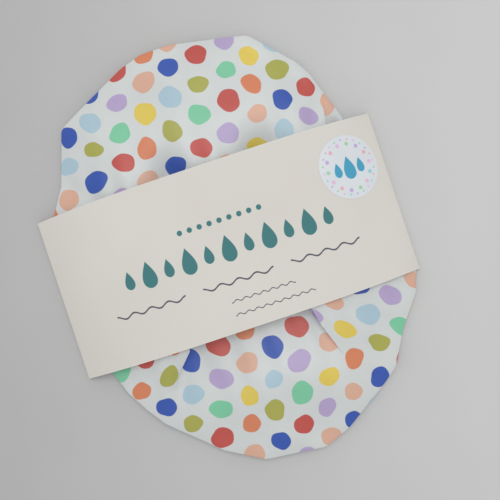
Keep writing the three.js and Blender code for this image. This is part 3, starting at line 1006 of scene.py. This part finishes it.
def card_stock(name, is_printed):
    """Uncoated cream card with fibres, lighter along its edges and folds, printed or plain."""
    material, tree, shader = finish(name)
    card = add(tree, "UVMap", uv_map="flat_card")
    across, up = (part_of(tree, card, axis) for axis in (0, 1))
    fibre = add(tree, "TexNoise", {"Vector": card, "Scale": 900.0, "Detail": 6.0, "Roughness": 0.7})
    cloud = add(tree, "TexNoise", {"Vector": card, "Scale": 14.0, "Detail": 3.0})
    tone = calc(tree, "MULTIPLY_ADD", fibre, FIBRE_SHARE, calc(tree, "MULTIPLY", cloud, CLOUD_SHARE))
    colour = mottled(tree, tone, ink(210, 206, 199), ink(217, 214, 207))
    if is_printed:
        colour = front_print(tree, across, up, colour)
    # The card is made lighter in a thin, ragged band along its long edges and at its folds.
    to_edge = calc(tree, "SUBTRACT", card_height / 2, calc(tree, "ABSOLUTE", up))
    to_fold = calc(tree, "ABSOLUTE", calc(tree, "SUBTRACT", calc(tree, "ABSOLUTE", across), FRONT_HALF))
    nearest = calc(tree, "MINIMUM", to_edge, to_fold)
    lighter_edge = within(tree, calc(tree, "MULTIPLY_ADD", fibre, -EDGE_LIGHTER_WIDTH, nearest), EDGE_LIGHTER_WIDTH)
    colour = blend(tree, calc(tree, "MULTIPLY", lighter_edge, EDGE_LIGHTER_STRENGTH), colour, EDGE_LIGHTER_TINT)
    tree.links.new(colour, shader.inputs["Base Color"])
    raise_surface(tree, shader, fibre, strength=0.15, distance=0.0002)
    shader.inputs["Roughness"].default_value = 0.75
    return material


bm = bmesh.new()
bmesh.ops.create_grid(bm, x_segments=CARD_STEPS, y_segments=CARD_ROWS, size=0.5)
lay_flat_map(bm, "flat_card", 2 * FRONT_HALF / ARCH_SHARE, card_height)
for vert in bm.verts:
    section = card_section(vert.co.x + 0.5)
    vert.co = Vector((section.x, card_middle + vert.co.y * card_height, section.y))
face_up(bm)
card = new_piece("card_band", bm, card_stock("printed_card", True), card_stock("plain_card", False))
give_thickness(card, CARD)
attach(card, "sleeve")
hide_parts("card_sleeve")


# Glue under the lap
# A line of white glue between the two back flaps of the card, dried as it was pressed: thin and flat,
# rounded at its ends and uneven along its sides, where it spread.
GLUE_CELLS = (12, 120)
GLUE_END = 0.008
GLUE_END_SHARE = 0.3
GLUE_WANDER = 0.0018
GLUE_WANDER_SCALE = 140
glue_low, glue_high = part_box("sleeve_glue_strip")


def dried_glue():
    """White glue, dried a little yellow and glossy, with the marks of its spreading."""
    material, tree, shader = finish("dried_glue")
    place = add(tree, "TexCoord", out="Object")
    drag = add(tree, "TexNoise", {"Vector": place, "Scale": 300.0, "Detail": 3.0})
    shade = mottled(tree, drag, ink(226, 219, 196), ink(238, 233, 216))
    tree.links.new(shade, shader.inputs["Base Color"])
    raise_surface(tree, shader, drag, strength=0.3, distance=0.0001)
    shader.inputs["Roughness"].default_value = 0.35
    return material


def glue_side(y, side):
    """Where the glue ends on one side: drawn in at the line's ends, and wandering along it."""
    to_end = min(y - glue_low.y, glue_high.y - y)
    rounding = math.sqrt(1 - (1 - min(1, max(0, to_end) / GLUE_END)) ** 2)
    wander = 0.5 + 0.5 * noise.noise(Vector((y * GLUE_WANDER_SCALE, side, 0)))
    return side * (glue_high.x * mix(GLUE_END_SHARE, 1, rounding) - GLUE_WANDER * wander)


bm = bmesh.new()
bmesh.ops.create_grid(bm, x_segments=GLUE_CELLS[0], y_segments=GLUE_CELLS[1], size=0.5)
for vert in bm.verts:
    y = mix(glue_low.y, glue_high.y, vert.co.y + 0.5)
    x = mix(glue_side(y, -1), glue_side(y, 1), vert.co.x + 0.5)
    vert.co = Vector((x, y, glue_low.z))
bmesh.ops.solidify(bm, geom=bm.faces[:], thickness=glue_low.z - glue_high.z)
bmesh.ops.recalc_face_normals(bm, faces=bm.faces[:])
glue = new_piece("glue_line", bm, dried_glue())
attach(glue, "sleeve")
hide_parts("sleeve_glue_strip")


# Round sticker
# A round white paper sticker with a satin face, stuck on the card's front near its upper right corner
# and bent with it. It is printed with blue drops and small pastel dots.
STICKER = 0.00012
STICKER_RADIUS = 0.019
STICKER_LIFT = 0.00005
STICKER_RINGS = 16
STICKER_SPOKES = 96
sticker_low, sticker_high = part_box("round_sticker")
STICKER_MIDDLE = ((sticker_low.x + sticker_high.x) / 2, (sticker_low.y + sticker_high.y) / 2)
STICKER_DROPS = (0.0075, 0.011, (0.0145, 0.0095))
DROP_BLUE = ink(68, 158, 192)

# Rings of dots: how many, the ring's radius and a dot's radius
STICKER_DOT_RINGS = ((14, 0.0138, 0.0012), (24, 0.0164, 0.0006))
RING_INKS = [
    ink(222, 186, 214), ink(164, 208, 170), ink(190, 172, 216), ink(226, 176, 184), ink(150, 206, 214),
]


def dot_ring(tree, paper, count, radius, dot_radius):
    """Small dots evenly round a circle: 1 on a dot and 0 off it, and the dot's number."""
    step = 2 * math.pi / count
    bearing = calc(tree, "ARCTAN2", part_of(tree, paper, 1), part_of(tree, paper, 0))
    turn = calc(tree, "DIVIDE", bearing, step)
    number = calc(tree, "ROUND", turn)
    aside = calc(tree, "MULTIPLY", calc(tree, "SUBTRACT", turn, number), step * radius)
    outward = calc(tree, "SUBTRACT", length_of(tree, paper), radius)
    distance = length_of(tree, add(tree, "CombineXYZ", [aside, outward]))
    dot = within(tree, calc(tree, "SUBTRACT", distance, dot_radius), PRINT_SOFT)
    return dot, calc(tree, "FLOORED_MODULO", number, float(count))


def sticker_paper():
    """White coated paper, printed with blue drops inside two rings of small pastel dots."""
    material, tree, shader = finish("sticker_paper")
    paper = add(tree, "UVMap", uv_map="flat_sticker")
    cloud = add(tree, "TexNoise", {"Vector": paper, "Scale": 60.0, "Detail": 3.0})
    colour = mottled(tree, cloud, ink(213, 218, 222), ink(218, 223, 228))
    stops = [(number / len(RING_INKS), tint) for number, tint in enumerate(RING_INKS)]
    for count, radius, dot_radius in STICKER_DOT_RINGS:
        dot, number = dot_ring(tree, paper, count, radius, dot_radius)
        share = calc(tree, "FRACT", calc(tree, "MULTIPLY", number, INK_STEPS[0]))
        colour = blend(tree, dot, colour, ramp(tree, share, stops, "CONSTANT"))
    drops = drop_row(tree, part_of(tree, paper, 0), part_of(tree, paper, 1), *STICKER_DROPS)
    tree.links.new(blend(tree, drops, colour, DROP_BLUE), shader.inputs["Base Color"])
    shader.inputs["Roughness"].default_value = 0.35
    return material


bm = flat_disc(STICKER_RADIUS, STICKER_RINGS, STICKER_SPOKES)
lay_flat_map(bm, "flat_sticker")
tilt = math.cos(math.atan(bow_slope(STICKER_MIDDLE[0])))
for vert in bm.verts:
    x = STICKER_MIDDLE[0] + vert.co.x * tilt
    vert.co = Vector((x, STICKER_MIDDLE[1] + vert.co.y, bow_offset(x, STICKER_LIFT + STICKER)))
paper = sticker_paper()
sticker = new_piece("round_paper_sticker", bm, paper, paper)
give_thickness(sticker, STICKER)
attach(sticker, "sleeve")
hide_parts("round_sticker")


# Table, light and camera
# A pale grey table, painted lighter towards the picture's right as if lit from that side, in an evenly white
# room. One large soft lamp hangs nearly overhead, and the camera looks straight down, turned a little.
LOOK_OVER = (0.01144, -0.0033)
LOOK_HEIGHT = 0.389
LOOK_TURN = math.radians(-18.47)
TABLE_HALF = 3
TABLE_CLOUD_AND_PAINTED_LIGHT_GREYS = [(0.35, ink(178, 178, 178)), (0.65, ink(202, 202, 202))]
TABLE_TONE = 0.44
TABLE_CLOUD = 0.12


def table_painted_lighter_right():
    """Pale grey with soft clouds, and painted lighter towards the picture's right as if light fell from that
    side; its tone rises by one in a metre that way.
    """
    material, tree, shader = finish("table_painted_lighter_right")
    place = add(tree, "TexCoord", out="Object")
    turned = add(tree, "Mapping", {"Vector": place, "Rotation": (0, 0, -LOOK_TURN)})
    cloud = add(tree, "TexNoise", {"Vector": place, "Scale": 9.0, "Detail": 5.0})
    clouded = calc(tree, "MULTIPLY_ADD", cloud, TABLE_CLOUD, TABLE_TONE)
    # Painted light: the grey grows lighter along the turned X, towards the picture's right, standing in for
    # light falling from that side.
    tone = calc(tree, "ADD", part_of(tree, turned, 0), clouded)
    tree.links.new(ramp(tree, tone, TABLE_CLOUD_AND_PAINTED_LIGHT_GREYS), shader.inputs["Base Color"])
    shader.inputs["Roughness"].default_value = 0.7
    return material


bm = bmesh.new()
bmesh.ops.create_grid(bm, x_segments=1, y_segments=1, size=TABLE_HALF)
table = new_piece("table", bm, table_painted_lighter_right())

camera = bpy.data.objects.new("camera", bpy.data.cameras.new("camera"))
camera.location = (*LOOK_OVER, LOOK_HEIGHT)
camera.rotation_euler = (0, 0, LOOK_TURN)
camera.data.sensor_width = 36
camera.data.lens = 46.2
camera.data.clip_start = 0.01
bpy.context.collection.objects.link(camera)
bpy.context.scene.camera = camera

lamp = bpy.data.objects.new("softbox", bpy.data.lights.new("softbox", "AREA"))
lamp.data.size = 0.7
lamp.data.energy = 4.7
lamp.location = (0.11, 0.24, 1.06)
lamp.rotation_euler = (-lamp.location).to_track_quat("-Z", "Y").to_euler()
bpy.context.collection.objects.link(lamp)

world = bpy.data.worlds.new("soft_room")
world.use_nodes = True
room = world.node_tree.nodes["Background"]
room.inputs["Color"].default_value = (1, 1, 1, 1)
room.inputs["Strength"].default_value = 0.63
bpy.context.scene.world = world
bpy.context.scene.view_settings.view_transform = "Standard"
